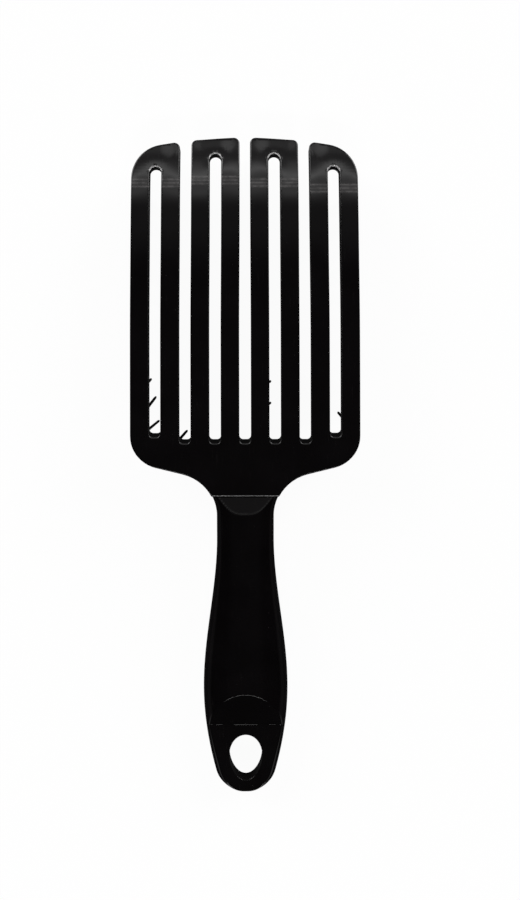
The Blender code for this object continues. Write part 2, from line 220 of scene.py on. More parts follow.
# Fineness of the head and the bristle rows
ARC_STEP = math.radians(7.5)
LEAST_ARC_STEPS = 3
RIM_STEPS = 4
SEAM_STEPS = 8
BOW_ROWS = 30
CURL_ROWS = 30
TIP_COLUMNS = 76
STRIP_ROWS = 32
STRIP_EDGE_STEPS = 2
BRISTLE_SIDES = 6

# Fineness of the handle: sections stand closer near the facets' edges and closest at the edges
SECTION_POINTS = 128
SECTION_STEP = 0.0010
FINE_STEP = 0.00035
FRONT_FINE = 0.0085
TAB_FINE = 0.003
EDGE_STEPS = (0.00004, 0.0001, 0.0002, 0.0004)
EDGE_CLEAR = 0.00045
END_ARC_STEP = math.radians(3)
END_ARC_FINE = math.radians(78)
END_ARC_STOP = math.radians(89.6)
HOLE_POINTS = 96
FLARE_STEPS = 9
HALVINGS = 30

# Shading and merging
MERGE = 0.000001
SHARP = math.radians(38)
BRISTLE_SHARP = math.radians(50)
NORMAL_WEIGHT = 60

# Finishes: a pair of tones or of roughness values is the least and the most that the mottling gives
HEAD_TONES = ((0.0021, 0.0017, 0.0019), (0.0030, 0.0025, 0.0028))
HEAD_GLOSS = (0.045, 0.075)
HANDLE_TONES = ((0.0020, 0.0016, 0.0018), (0.0029, 0.0024, 0.0027))
HANDLE_GLOSS = (0.04, 0.07)
PLASTIC_IOR = 1.46
PLASTIC_SPECULAR = 0.42
PLASTIC_BUMP = 0.12
NYLON_TONES = ((0.0050, 0.0046, 0.0046), (0.0095, 0.0088, 0.0086))
NYLON_TIP_TONE = (0.030, 0.028, 0.027)
NYLON_TIP_SHARE = 0.35
NYLON_GLOSS = (0.34, 0.50)
NYLON_IOR = 1.50
NYLON_BUMP = 0.15
BUMP_DISTANCE = 0.00002

# What the plastic carries: its tone, the share of that tone, and what it adds to roughness and height
SCRATCH_TONE = (0.020, 0.018, 0.018)
SCRATCH_SHARE = 0.10
SCRATCH_ROUGH = 0.06
SCRATCH_HEIGHT = -0.5
CROSS_SCRATCH = 0.6
DUST_TONE = (0.040, 0.037, 0.036)
DUST_SHARE = 0.25
DUST_ROUGH = 0.3
DUST_HEIGHT = 0.6
GRAIN_HEIGHT = 0.25
WORN_LIFT = 3
WORN_SHARE = 0.12
WORN_ROUGH = 0.05
RIM_ROUGH = 0.38
WALL_ROUGH = 0.08
# Painted highlight along the arches' rims, the seam edge and the front ramp's edge: its tone, and the
# least share that the haze leaves
PAINTED_HIGHLIGHT_TONE = (0.80, 0.79, 0.79)
PAINTED_HIGHLIGHT_LEAST = 0.75

# Painted highlight streaks: three pale lines across the bars near the tips, lower on some loops than on
# others
STREAK_HIGHLIGHT_TONE = (0.054, 0.051, 0.051)
STREAK_MIDDLE = 0.10705
STREAK_PITCH = 0.00129
STREAK_START = (0.1050, 0.1053)
STREAK_END = (0.1088, 0.1091)
STREAK_LOWER = (0.00103, 0.0, 0.00099, 0.00313)
STREAK_STEP = 0.0003
STREAK_BETWEEN = 0.32
STREAK_FAINTEST = 0.45

# Floor and ground, which is white to the camera and dim in reflections
FLOOR_HALF_SIZE = 8
FLOOR_DROP = 0.0001
FLOOR_TONE = 0.05
FLOOR_TONE_MIRRORED = 0.01
GROUND_WHITE = 0.95
GROUND_MIRRORED = 0.02

# Light bank: strength at an angle from overhead, in degrees, with the tips' side positive
BANK = (
    (-180, 0.02), (4, 0.02), (6, 0.14), (16, 0.16), (18, 0.30), (20.5, 0.62), (22, 1.00),
    (27.4, 0.95), (28.6, 1.50), (29.9, 2.60), (30.8, 1.50), (31.8, 0.64), (32.9, 0.36),
    (35, 0.36), (36.3, 0.60), (37.4, 0.75), (38.5, 0.64), (40, 0.40), (44, 0.25), (180, 0.02),
)
BANK_SCALE = 2.0
BANK_SIDES = (0.22, 0.50)

# Other lights: a pair is a soft edge, as an angle from overhead or as a part of the light's direction
SPOT_ANGLE = math.radians(37.4)
SPOT_EDGE = (math.cos(math.radians(3.6)), math.cos(math.radians(1)))
SPOT_STRENGTH = 0.85
FRONT_BOX_LOW = (math.cos(math.radians(51)), math.cos(math.radians(49.5)))
FRONT_BOX_HIGH = (math.cos(math.radians(42)), math.cos(math.radians(40.5)))
FRONT_BOX_REACH = (-0.68, -0.61)
FRONT_BOX_SIDES = (0.17, 0.26)
FRONT_BOX_STRENGTH = 14.4
BACK_BOX_HIGH = (math.radians(46), math.radians(50))
BACK_BOX_SIDES = (0.30, 0.50)
BACK_BOX_STRENGTH = 0.35
SIDE_BOX_HIGH = (math.radians(34), math.radians(40))
SIDE_BOX_INNER = (0.40, 0.56)
SIDE_BOX_OUTER = (0.80, 0.92)
SIDE_BOX_STRENGTH = 8.0
BOX_LOW = (math.radians(78), math.radians(82))
GLOW_TOP = (0.22, 0.38)
GLOW_STRENGTH = 0.6
GLOW_FRONT = (-0.66, -0.54)
GLOW_FRONT_SHARE = 0.75
GLOW_LEAST = 0.10
GLOW_BACK = (0.0, 0.12)

# Camera: the frame, the focal length and the picture's axis in pixels, and its height over the back
PICTURE = (520, 900)
FOCAL_LENGTH = 1005.2
AXIS = (245.1, 265.5)
CAMERA_AT = (0.0001, 0.07528)
CAMERA_HEIGHT = 0.370
CAMERA_TURN = -0.002
SENSOR = 36
NEAREST = 0.01
FARTHEST = 50


# Small helpers


def place(name, form):
    """Turns a bmesh into an object at the origin."""
    mesh = bpy.data.meshes.new(name)
    form.to_mesh(mesh)
    form.free()
    thing = bpy.data.objects.new(name, mesh)
    bpy.context.scene.collection.objects.link(thing)
    return thing


def cut_with(thing, tool, operation):
    """Applies a boolean with a tool, which is then thrown away."""
    change = thing.modifiers.new("cut", "BOOLEAN")
    change.operation = operation
    change.object = tool
    bpy.context.view_layer.update()
    graph = bpy.context.evaluated_depsgraph_get()
    mesh = bpy.data.meshes.new_from_object(thing.evaluated_get(graph))
    thing.modifiers.remove(change)
    thing.data = mesh
    bpy.data.objects.remove(tool, do_unlink=True)


def smooth_step(share):
    share = min(1.0, max(0.0, share))
    return share * share * (3 - 2 * share)


def hermite(share, start, end, start_slope, end_slope):
    """A curve from start to end with the slopes given there."""
    square = share * share
    cube = square * share
    return (start * (2 * cube - 3 * square + 1) + end * (3 * square - 2 * cube)
            + start_slope * (cube - 2 * square + share) + end_slope * (cube - square))


def lower_of(one, other, soft):
    """The lower of two heights, with a rounded edge where they cross."""
    share = max(0.0, soft - abs(one - other)) / soft
    return min(one, other) - share * share * soft / 4


def upper_of(one, other, soft):
    return -lower_of(-one, -other, soft)


def verts_in(geom):
    return [item for item in geom if isinstance(item, bmesh.types.BMVert)]


def slice_at(form, point, normal, keep=None):
    """Cuts new edges where a plane crosses the form, or the part of it that keep picks."""
    touched = form.verts[:] + form.edges[:] + form.faces[:]
    if keep:
        touched = [vert for vert in form.verts if keep(vert.co)]
        touched += [edge for edge in form.edges if all(keep(vert.co) for vert in edge.verts)]
        touched += [face for face in form.faces if keep(face.calc_center_median())]
    bmesh.ops.bisect_plane(form, geom=touched, dist=MERGE, plane_co=point, plane_no=normal)


def box(form, low, high):
    made = bmesh.ops.create_cube(form, size=1)["verts"]
    low = Vector(low)
    high = Vector(high)
    bmesh.ops.scale(form, vec=high - low, verts=made)
    bmesh.ops.translate(form, vec=(low + high) / 2, verts=made)


def drawn_tube(form, points, stations, spot):
    """Extrudes a ring from station to station; spot(station, turn) says where each point goes."""
    turn = form.verts.layers.float.get("turn") or form.verts.layers.float.new("turn")
    ring = bmesh.ops.create_circle(form, segments=points, radius=1)["verts"]
    for vert in ring:
        vert[turn] = math.atan2(vert.co.y, vert.co.x)
        vert.co = spot(stations[0], vert[turn])
    first = list(dict.fromkeys(edge for vert in ring for edge in vert.link_edges))
    edges = first
    for station in stations[1:]:
        drawn = bmesh.ops.extrude_edge_only(form, edges=edges)["geom"]
        fresh = set(verts_in(drawn))
        for vert in fresh:
            vert.co = spot(station, vert[turn])
        edges = [item for item in drawn if isinstance(item, bmesh.types.BMEdge)
                 and item.verts[0] in fresh and item.verts[1] in fresh]
    return first, edges


def finish_shading(thing):
    """Smooth shading with sharp edges, evened out on large faces."""
    thing.data.shade_smooth()
    thing.data.set_sharp_from_angle(angle=SHARP)
    even = thing.modifiers.new("even_normals", "WEIGHTED_NORMAL")
    even.keep_sharp = True
    even.weight = NORMAL_WEIGHT


# Head frame


def bar_centre(index):
    return (index - (BARS - 1) / 2) * PITCH


def loop_at(x):
    """The loop that a place across the head belongs to."""
    return min(LOOPS - 1, max(0, int((x + HEAD_HALF_WIDTH) / (2 * PITCH))))


def tip_height(x):
    return TIP + TIP_RISE - x * x / (2 * CROWN_RADIUS)


def spun_outline(form, corners):
    """Draws a closed outline from (x, y, radius) corners, each corner spun to an arc."""
    ends = []
    for index, (x, y, radius) in enumerate(corners):
        here = Vector((x, y, 0))
        before = Vector((*corners[index - 1][:2], 0))
        after = Vector((*corners[(index + 1) % len(corners)][:2], 0))
        inward = (before - here).normalized()
        outward = (after - here).normalized()
        turn = math.pi - inward.angle(outward)
        reach = radius * math.tan(turn / 2)
        first = form.verts.new(here + inward * reach)
        if radius == 0:
            ends.append((first, first))
            continue
        centre = here + (inward + outward).normalized() * (radius / math.cos(turn / 2))
        side = 1 if inward.cross(outward).z < 0 else -1
        spun = bmesh.ops.spin(form, geom=[first], cent=centre, axis=(0, 0, side), angle=turn,
                              steps=max(LEAST_ARC_STEPS, math.ceil(turn / ARC_STEP)))
        last = verts_in(spun["geom_last"])[0]
        ends.append((first, last))
    for index, (first, last) in enumerate(ends):
        form.edges.new((last, ends[(index + 1) % len(ends)][0]))


def head_corners():
    """Corners of the right half, from the middle gap to the neck, then mirrored."""
    right = []
    for loop in range(LOOPS // 2, LOOPS):
        left_edge = bar_centre(2 * loop) - BAR_WIDTH / 2
        right_edge = bar_centre(2 * loop + 1) + BAR_WIDTH / 2
        last = loop == LOOPS - 1
        right.append((left_edge, SEAM + SLOT_FOOT, FOOT_RADIUS))
        right.append((left_edge, tip_height(left_edge), TIP_CORNER))
        right.append((right_edge, tip_height(right_edge), OUTER_CORNER if last else TIP_CORNER))
        if not last:
            right.append((right_edge, SEAM + SLOT_FOOT, FOOT_RADIUS))
    shoulder = SEAM + SHOULDER_HEIGHT
    fall = (HEAD_HALF_WIDTH - NECK_HALF_WIDTH) * math.tan(SHOULDER_SLOPE)
    right.append((HEAD_HALF_WIDTH, shoulder, SHOULDER_RADIUS))
    right.append((NECK_HALF_WIDTH, shoulder - fall, THROAT_RADIUS))
    right.append((NECK_HALF_WIDTH, SEAM - 2 * THROAT_RADIUS, 0))
    return right + [(-x, y, radius) for x, y, radius in reversed(right)]


def slot_ends(loop):
    """Middle, foot and top of a loop's closed slot."""
    centre = (bar_centre(2 * loop) + bar_centre(2 * loop + 1)) / 2
    outer = loop in (0, LOOPS - 1)
    foot = SEAM + (OUTER_SLOT_FOOT if outer else SLOT_FOOT)
    return centre, foot, tip_height(centre) - (OUTER_BRIDGE if outer else INNER_BRIDGE)


def slot_corners(loop):
    """Corners of a closed slot, whose top is a half circle but for a hair's breadth."""
    centre, foot, top = slot_ends(loop)
    half = SLOT_WIDTH / 2
    arch = half - MERGE
    return [(centre - half, foot, FOOT_RADIUS), (centre + half, foot, FOOT_RADIUS),
            (centre + half, top, arch), (centre - half, top, arch)]


def bow_drop(along):
    """How far the bow and the curl take the head down, at a distance from the seam."""
    bow = max(0.0, along - BOW_START)
    curl = max(0.0, along - (HEAD_LENGTH - CURL_LENGTH))
    return bow * bow / (2 * BOW_RADIUS) + curl * curl / (2 * CURL_RADIUS)


def bow_slope(along):
    """The slope that goes with that drop."""
    bow = max(0.0, along - BOW_START)
    curl = max(0.0, along - (HEAD_LENGTH - CURL_LENGTH))
    return bow / BOW_RADIUS + curl / CURL_RADIUS


def sway(x, along):
    """Where a point lies across the head, which spreads a little and whose loops lean a little."""
    spread = x * SPREAD * smooth_step((along - SPREAD_FROM) / SPREAD_RUN)
    lean = LEAN[loop_at(x + SLOT_WIDTH / 2)] * smooth_step((along - LEAN_FROM) / LEAN_RUN)
    return x + spread + lean


def outer_curl(x, along):
    """The extra slope of the outer loops near their tips, and the drop that it adds up to."""
    share = max(0.0, along - OUTER_CURL_FROM) / OUTER_CURL_RUN
    if abs(x) < 2 * PITCH or share == 0:
        return 0.0, 0.0
    drop = share ** 3 - share ** 4 / 2 if share < 1 else share - 0.5
    return OUTER_CURL * smooth_step(share), OUTER_CURL * OUTER_CURL_RUN * drop


def bend(flat):
    """Carries a point of the flat plate, with its back at z = 0, on to the bowed head."""
    along = flat.y - SEAM
    slope, drop = outer_curl(flat.x, along)
    normal = Vector((0, bow_slope(along) + slope, 1)).normalized()
    return Vector((sway(flat.x, along), flat.y, BACK - bow_drop(along) - drop)) + normal * flat.z


def arch_dip(x, y):
    """How far the back sinks towards the round end of the nearest closed slot."""
    sink = 0.0
    for loop in range(LOOPS):
        centre, _, top = slot_ends(loop)
        arch = top - SLOT_WIDTH / 2
        away = math.hypot(x - centre, max(0.0, y - arch)) - SLOT_WIDTH / 2
        share = max(0.0, 1 - max(0.0, away) / DIP_REACH)
        sink += DIP_DEPTH * share * share * smooth_step((y - arch + DIP_REACH) / DIP_REACH)
    return sink


def arch_rim(x, y):
    """The nearest arch's middle, and how much wider the rim is there than elsewhere."""
    centre, _, top = slot_ends(loop_at(x))
    arch = top - SLOT_WIDTH / 2
    near = math.hypot(x - centre, max(0.0, y - arch)) < SLOT_WIDTH / 2 + ARCH_RIM
    share = smooth_step((y - arch + ARCH_RIM_RUN) / ARCH_RIM_RUN) if near else 0.0
    return centre, arch, 1 + (ARCH_RIM / RIM - 1) * share


def widen_arch_rims(form):
    """Spreads the rim round each arch, before the plate is mirrored and sliced."""
    for vert in form.verts:
        centre, arch, wider = arch_rim(vert.co.x, vert.co.y)
        away = Vector((vert.co.x - centre, max(0.0, vert.co.y - arch), 0))
        reach = away.length - SLOT_WIDTH / 2
        if wider > 1 and reach < RIM + MERGE and vert.co.z > MERGE:
            vert.co += away.normalized() * max(0.0, reach) * (wider - 1)
            vert.co.z = PLATE / 2 - (PLATE / 2 - vert.co.z) * wider


def slope_feet(form):
    """Leans the walls at the slots' feet, so that they show from above."""
    for vert in form.verts:
        slot = min(BARS - 2, max(0, round(vert.co.x / PITCH) + LOOPS - 1))
        foot = SEAM + (OUTER_SLOT_FOOT if slot in (0, BARS - 2) else SLOT_FOOT)
        aside = abs(vert.co.x - (slot - LOOPS + 1) * PITCH) - SLOT_WIDTH / 2
        below = foot - vert.co.y
        if aside < RIM + MERGE and -FOOT_SLOPE_RUN < below < RIM + MERGE:
            share = smooth_step(1 + below / FOOT_SLOPE_RUN) * (0.5 + vert.co.z / PLATE)
            vert.co.y -= FOOT_SLOPE * share


def round_rear(form):
    """Rounds the back's edge over to the seam."""
    for step in range(SEAM_STEPS):
        turn = math.pi / 2 * step / SEAM_STEPS
        slice_at(form, (0, PARTING + SEAM_ROUND * (1 - math.sin(turn)), 0), (0, 1, 0))
    for vert in form.verts:
        share = min(1.0, 1 - (vert.co.y - PARTING) / SEAM_ROUND)
        if share > 0 and vert.co.z > 0:
            drop = SEAM_ROUND * (1 - math.sqrt(1 - share * share))
            vert.co.z -= drop * vert.co.z / (PLATE / 2)


def pillow(x, y):
    """How far a loop's back falls off to its sides near the tips, as a slight crown."""
    loop = loop_at(x)
    centre = slot_ends(loop)[0]
    if 0 < loop < LOOPS - 1:
        centre -= math.copysign(PILLOW_SHIFT, centre)
    share = min(PILLOW_LIMIT, abs(x - centre) / (BAR_WIDTH + SLOT_WIDTH / 2))
    return PILLOW * share * share * smooth_step((y - TIP + PILLOW_LENGTH) / PILLOW_RUN)


def flat_plate():
    """The plate with its slots, flat, rims rounded, about its middle plane."""
    form = bmesh.new()
    spun_outline(form, head_corners())
    for loop in range(LOOPS):
        spun_outline(form, slot_corners(loop))
    bmesh.ops.triangle_fill(form, use_beauty=True, edges=form.edges[:], normal=(0, 0, 1))
    bmesh.ops.translate(form, vec=(0, 0, PLATE / 2 - RIM), verts=form.verts)
    back = form.faces[:]
    outline = [edge for edge in form.edges if edge.is_boundary]
    drawn = bmesh.ops.extrude_edge_only(form, edges=outline)["geom"]
    bmesh.ops.translate(form, vec=(0, 0, RIM - PLATE / 2), verts=verts_in(drawn))
    for step in range(RIM_STEPS):
        start = math.pi / 2 * step / RIM_STEPS
        end = math.pi / 2 * (step + 1) / RIM_STEPS
        form.normal_update()
        bmesh.ops.inset_region(form, faces=back, use_even_offset=True,
                               thickness=RIM * (math.cos(start) - math.cos(end)),
                               depth=RIM * (math.sin(end) - math.sin(start)))
    widen_arch_rims(form)
    bmesh.ops.mirror(form, geom=form.verts[:] + form.edges[:] + form.faces[:], axis="Z",
                     merge_dist=MERGE)
    bmesh.ops.remove_doubles(form, verts=form.verts, dist=MERGE)
    everything = form.verts[:] + form.edges[:] + form.faces[:]
    bmesh.ops.bisect_plane(form, geom=everything, dist=MERGE, plane_co=(0, PARTING, 0),
                           plane_no=(0, 1, 0), clear_inner=True)
    bmesh.ops.holes_fill(form, edges=[edge for edge in form.edges if edge.is_boundary])
    bmesh.ops.recalc_face_normals(form, faces=form.faces)
    slope_feet(form)
    round_rear(form)
    bmesh.ops.translate(form, vec=(0, 0, -PLATE / 2), verts=form.verts)
    return form


def strip_start(index):
    return SEAM + (OUTER_STRIP_START if index in (0, BARS - 1) else STRIP_START)


def groove_tool():
    """Cutter for the grooves in the front of the bars."""
    form = bmesh.new()
    half = STRIP_WIDTH / 2 + CLEARANCE
    for index in range(BARS):
        x = bar_centre(index)
        box(form, (x - half, strip_start(index) - CLEARANCE, -2 * PLATE),
            (x + half, TIP - STRIP_TIP_MARGIN + CLEARANCE, STRIP_DEPTH + CLEARANCE - PLATE))
    return place("groove_tool", form)


def tang_block(name, clearance, lift):
    """The tang, or its socket with a clearance, sloping as the handle does near the seam."""
    form = bmesh.new()
    half = Vector((TANG.x / 2 + clearance, 0, TANG.z / 2 + clearance))
    box(form, (-half.x, SEAM - TANG.y - clearance, -half.z), (half.x, SEAM + TANG_ROOT, half.z))
    slice_at(form, (0, SEAM, 0), (0, 1, 0))
    fall = (handle_middle(0) - handle_middle(TANG.y)) / TANG.y
    for vert in form.verts:
        vert.co.z += lift - PLATE / 2 - fall * max(0.0, SEAM - vert.co.y)
    return place(name, form)


def in_tip_zone(spot):
    return spot.y > TIP_ZONE - MERGE


def slice_head(form):
    """Adds rows and columns of points, close enough for the bow, the curl and the crowns."""
    bowed = TIP_ZONE - SEAM - BOW_START
    for step in range(BOW_ROWS):
        slice_at(form, (0, SEAM + BOW_START + bowed * step / BOW_ROWS, 0), (0, 1, 0))
    for step in range(CURL_ROWS):
        slice_at(form, (0, TIP_ZONE + CURL_LENGTH * step / CURL_ROWS, 0), (0, 1, 0))
    for step in range(1, TIP_COLUMNS):
        x = HEAD_HALF_WIDTH * (2 * step / TIP_COLUMNS - 1)
        slice_at(form, (x, 0, 0), (1, 0, 0), in_tip_zone)


def mark_head(form):
    """Marks worn rims, walls, and the painted highlights on the arches' rims and the seam edge, while
    the plate is flat.
    """
    wear = form.verts.layers.float.new("wear")
    wall = form.verts.layers.float.new("wall")
    pale = form.verts.layers.float.new("pale")
    for vert in form.verts:
        x, y, z = vert.co
        _, arch, wider = arch_rim(x, y)
        depth = min(1.0, max(0.0, min(-z, PLATE + z) / (RIM * wider)))
        vert[wear] = math.sin(math.pi * depth)
        vert[wall] = smooth_step(2 * depth - 1)
        # Painted highlight: a pale line on the rim round each arch and along the rounded seam edge
        if wider > 1 and -z < PLATE / 2:
            vert[pale] = vert[wear] * smooth_step((y - arch) / ARCH_HIGHLIGHT_RUN)
        behind = PARTING + SEAM_ROUND - y
        if behind > 0 and -z < SEAM_ROUND + MERGE:
            vert[pale] = SEAM_HIGHLIGHT_PAINT * math.sin(math.pi * behind / SEAM_ROUND)


def shape_head(form):
    """Sinks the back round the arches, crowns the loops, and bows and curls the plate."""
    for vert in form.verts:
        x, y, z = vert.co
        if y > TIP_ZONE - DIP_REACH:
            vert.co.z -= (arch_dip(x, y) + pillow(x, y)) * max(0.0, 1 + 2 * z / PLATE)
        vert.co = bend(vert.co)


def head_frame():
    thing = place("looped_head", flat_plate())
    cut_with(thing, tang_block("tang_tool", 0, 0), "UNION")
    cut_with(thing, groove_tool(), "DIFFERENCE")
    form = bmesh.new()
    form.from_mesh(thing.data)
    slice_head(form)
    mark_head(form)
    shape_head(form)
    form.to_mesh(thing.data)
    form.free()
    finish_shading(thing)
    return thing


# Handle


@functools.cache
def half_width(along):
    """Half the handle's width at a distance from the seam."""
    if along < NECK_FROM:
        reach = NECK_FROM - along
        return NECK_HALF_WIDTH + THROAT_RADIUS - math.sqrt(THROAT_RADIUS ** 2 - reach ** 2)
    if along < PALM_AT:
        share = smooth_step((along - NECK_TO) / (PALM_AT - NECK_TO))
        return NECK_HALF_WIDTH + (PALM_HALF_WIDTH - NECK_HALF_WIDTH) * share
    if along < END_TANGENT:
        run = END_TANGENT - PALM_AT
        return hermite((along - PALM_AT) / run, PALM_HALF_WIDTH, END_HALF_WIDTH, 0, -END_TAPER * run)
    share = min(1.0, (along - END_CENTRE) / END_RADIUS)
    return END_RADIUS * (1 - share ** END_POWER) ** (1 / END_POWER)


@functools.cache
def underside(along):
    """Height of the handle's belly before it is trimmed."""
    seam = BACK - PLATE - SEAM_CHIN
    if along < PALM_AT:
        return seam * (1 - smooth_step(along / PALM_AT))
    return END_LIFT * smooth_step((along - PALM_AT) / (HANDLE_LENGTH - PALM_AT))


@functools.cache
def crest(along):
    """Height of the handle's crest before it is trimmed."""
    seam = BACK + SEAM_CREST
    if along < PALM_AT:
        return seam + (PALM_THICKNESS - seam) * smooth_step(along / PALM_AT)
    share = smooth_step((along - PALM_AT) / (HANDLE_LENGTH - PALM_AT))
    return PALM_THICKNESS + (END_LIFT + END_DEPTH - PALM_THICKNESS) * share


def handle_middle(along):
    return (underside(along) + crest(along)) / 2


@functools.cache
def tab_middle(along):
    """Height of the tab's middle plane, which slopes evenly."""
    start = handle_middle(TAB_AT)
    fall = start - handle_middle(HANDLE_LENGTH)
    return start - fall * (along - TAB_AT) / (HANDLE_LENGTH - TAB_AT)


@functools.cache
def front_ramp(along):
    """The facet that slopes off the crest to the seam."""
    return BACK + SEAM_STEP + FRONT_RAMP_SLOPE * along


@functools.cache
def end_ramp(along, side):
    """The facet that falls from the crest (side 1) or the belly (side -1) to the tab."""
    foot = tab_middle(TAB_AT) + side * TAB / 2
    top = crest(END_RAMP_AT) if side > 0 else underside(END_RAMP_AT)
    return foot + (top - foot) * (TAB_AT - along) / (TAB_AT - END_RAMP_AT)


@functools.cache
def end_roll(along):
    """How far the tab's faces draw in where its end is rounded."""
    reach = max(0.0, along - HANDLE_END + END_ROUND)
    return END_ROUND - math.sqrt(max(0.0, END_ROUND * END_ROUND - reach * reach))


def oval(along, turn):
    """Across, as a share of the half width, and height of the section before it is trimmed."""
    low = underside(along)
    high = crest(along)
    power = SEAM_POWER + (PALM_POWER - SEAM_POWER) * smooth_step(along / PALM_AT)
    reach = (abs(math.cos(turn)) ** power + abs(math.sin(turn)) ** power) ** (-1 / power)
    return reach * math.cos(turn), (low + high) / 2 + reach * math.sin(turn) * (high - low) / 2


@functools.cache
def arc_at(turn):
    """Where a line along the handle crosses the edge between crest and end ramp."""
    side = 1 if math.sin(turn) > 0 else -1
    low = END_RAMP_AT
    high = TAB_AT - ARC_LIMIT
    for _ in range(HALVINGS):
        middle = (low + high) / 2
        if side * (oval(middle, turn)[1] - end_ramp(middle, side)) < 0:
            low = middle
        else:
            high = middle
    return low


def follow_arc(station, turn):
    """Moves the stations round the edge of the end ramp on to that edge."""
    start = END_RAMP_AT - ARC_RUN
    if station <= start or station >= TAB_AT:
        return station
    arc = arc_at(turn)
    if station < END_RAMP_AT:
        return start + (station - start) * (arc - start) / ARC_RUN
    return arc + (station - END_RAMP_AT) * (TAB_AT - arc) / (TAB_AT - END_RAMP_AT)


def handle_spot(station, turn):
    """A point of the handle's surface: an oval section, trimmed by the facets and the tab."""
    along = follow_arc(station, turn)
    across, z = oval(along, turn)
    edge = abs(across) ** SIDE_POWER
    soft = EDGE_SOFT + SIDE_SOFT * edge
    crease = CREASE_SOFT * (1 - CREASE_FADE * edge)
    square = smooth_step((along - TAB_AT) / TAB_POWER_RUN)
    power = TAB_POWER[0] + (TAB_POWER[1] - TAB_POWER[0]) * square
    tab = max(0.0, 1 - abs(across) ** power) ** (1 / power) * TAB / 2 - end_roll(along)
    z = lower_of(z, front_ramp(along), EDGE_SOFT + FRONT_SIDE_SOFT * edge)
    z = lower_of(z, upper_of(end_ramp(along, 1), tab_middle(along) + tab, crease), soft)
    z = upper_of(z, lower_of(end_ramp(along, -1), tab_middle(along) - tab, crease), soft)
    return Vector((across * half_width(along), HANDLE_FROM - along, z))


def handle_stations():
    """Distances from the seam: close together at the facets' edges, and round the end."""
    stations = [HANDLE_FROM - PARTING + SEAM_GAP]
    while stations[-1] < END_TANGENT:
        along = stations[-1]
        fine = along < FRONT_FINE or END_RAMP_AT - ARC_RUN < along < TAB_AT + TAB_FINE
        stations.append(along + (FINE_STEP if fine else SECTION_STEP))
    for edge in (END_RAMP_AT, TAB_AT):
        stations = [station for station in stations if abs(station - edge) > EDGE_CLEAR]
        stations.append(edge)
        for away in EDGE_STEPS:
            stations += [edge - away, edge + away]
    turn = math.asin((END_TANGENT - END_CENTRE) / END_RADIUS)
    while turn < math.pi / 2 - END_ARC_STEP / 4:
        turn += END_ARC_STEP if turn < END_ARC_FINE else END_ARC_STEP / 2
        stations.append(END_CENTRE + END_RADIUS * math.sin(min(turn, END_ARC_STOP)))
    return sorted(station for station in stations if station < HANDLE_END)


def hole_spot(level, turn):
    """A point of the hole's tapered oval, at a level given by its height and its flare."""
    height, flare = level
    across = HOLE[0] * (1 + HOLE_EGG * math.sin(turn)) + flare
    return Vector((across * math.cos(turn), (HOLE[1] + flare) * math.sin(turn), height))


def hole_tool():
    """Cutter for the hang hole, with flared ends, which round the hole's rims."""
    levels = [(-TAB, HOLE_MOUTH)]
    last = FLARE_STEPS - 1
    for side in (-1, 1):
        for step in range(FLARE_STEPS):
            angle = FLARE_TURN * (step if side > 0 else last - step) / last
            height = side * (TAB / 2 - HOLE_FLARE + HOLE_FLARE * math.sin(angle))
            levels.append((height, HOLE_FLARE * (1 - math.cos(angle))))
    levels.append((TAB, HOLE_MOUTH))
    form = bmesh.new()
    for ring in drawn_tube(form, HOLE_POINTS, levels, hole_spot):
        bmesh.ops.edgeloop_fill(form, edges=ring)
    bmesh.ops.recalc_face_normals(form, faces=form.faces)
    tilt = math.atan2(tab_middle(TAB_AT) - tab_middle(HANDLE_LENGTH), HANDLE_LENGTH - TAB_AT)
    spot = Matrix.Translation((0, HANDLE_FROM - HOLE_AT, tab_middle(HOLE_AT)))
    bmesh.ops.transform(form, matrix=spot @ Matrix.Rotation(tilt, 4, "X"), verts=form.verts)
    return place("hole_tool", form)


def sharpen_crease(mesh):
    """Keeps the foot of the end ramp sharp, but for its middle and a stretch near each end."""
    line = HANDLE_FROM - TAB_AT
    for edge in mesh.edges:
        ends = [mesh.vertices[index].co for index in edge.vertices]
        aside = abs(ends[0].x + ends[1].x) / 2
        soft = aside < SOFT_CREASE[0] or SOFT_CREASE[1] < aside < SOFT_CREASE[2]
        if not soft and all(abs(end.y - line) < MERGE for end in ends):
            edge.use_edge_sharp = True


def ramp_highlight_paint(spot):
    """How much painted highlight a point gets, by how near it lies to the edge between the crest and the
    front ramp.
    """
    along = HANDLE_FROM - spot.y
    if along >= FRONT_ZONE or spot.z <= BACK - PLATE / 2 or abs(spot.x) >= half_width(along):
        return 0.0
    turn = math.acos(spot.x / half_width(along))
    rise = abs(oval(along, turn)[1] - front_ramp(along))
    return RAMP_HIGHLIGHT_PAINT * max(0.0, 1 - rise / RAMP_HIGHLIGHT_RUN)


def mark_handle(form):
    """Marks the hole's wall and the painted highlight along the edge of the front ramp."""
    form.verts.layers.float.new("wear")
    wall = form.verts.layers.float.new("wall")
    pale = form.verts.layers.float.new("pale")
    middle = HANDLE_FROM - HOLE_AT
    for vert in form.verts:
        height = (vert.co.y - middle) / HOLE[1]
        away = math.hypot(vert.co.x / (HOLE[0] * (1 + HOLE_EGG * height)), height)
        vert[wall] = smooth_step((HOLE_WALL - away) / HOLE_WALL_RUN)
        vert[pale] = ramp_highlight_paint(vert.co)


def handle():
    form = bmesh.new()
    for ring in drawn_tube(form, SECTION_POINTS, handle_stations(), handle_spot):
        bmesh.ops.edgeloop_fill(form, edges=ring)
    bmesh.ops.recalc_face_normals(form, faces=form.faces)
    thing = place("tapered_handle", form)
    cut_with(thing, hole_tool(), "DIFFERENCE")
    cut_with(thing, tang_block("socket_tool", CLEARANCE, BACK), "DIFFERENCE")
    form = bmesh.new()
    form.from_mesh(thing.data)
    mark_handle(form)
    form.to_mesh(thing.data)
    form.free()
    finish_shading(thing)
    sharpen_crease(thing.data)
    return thing


# Bristle rows


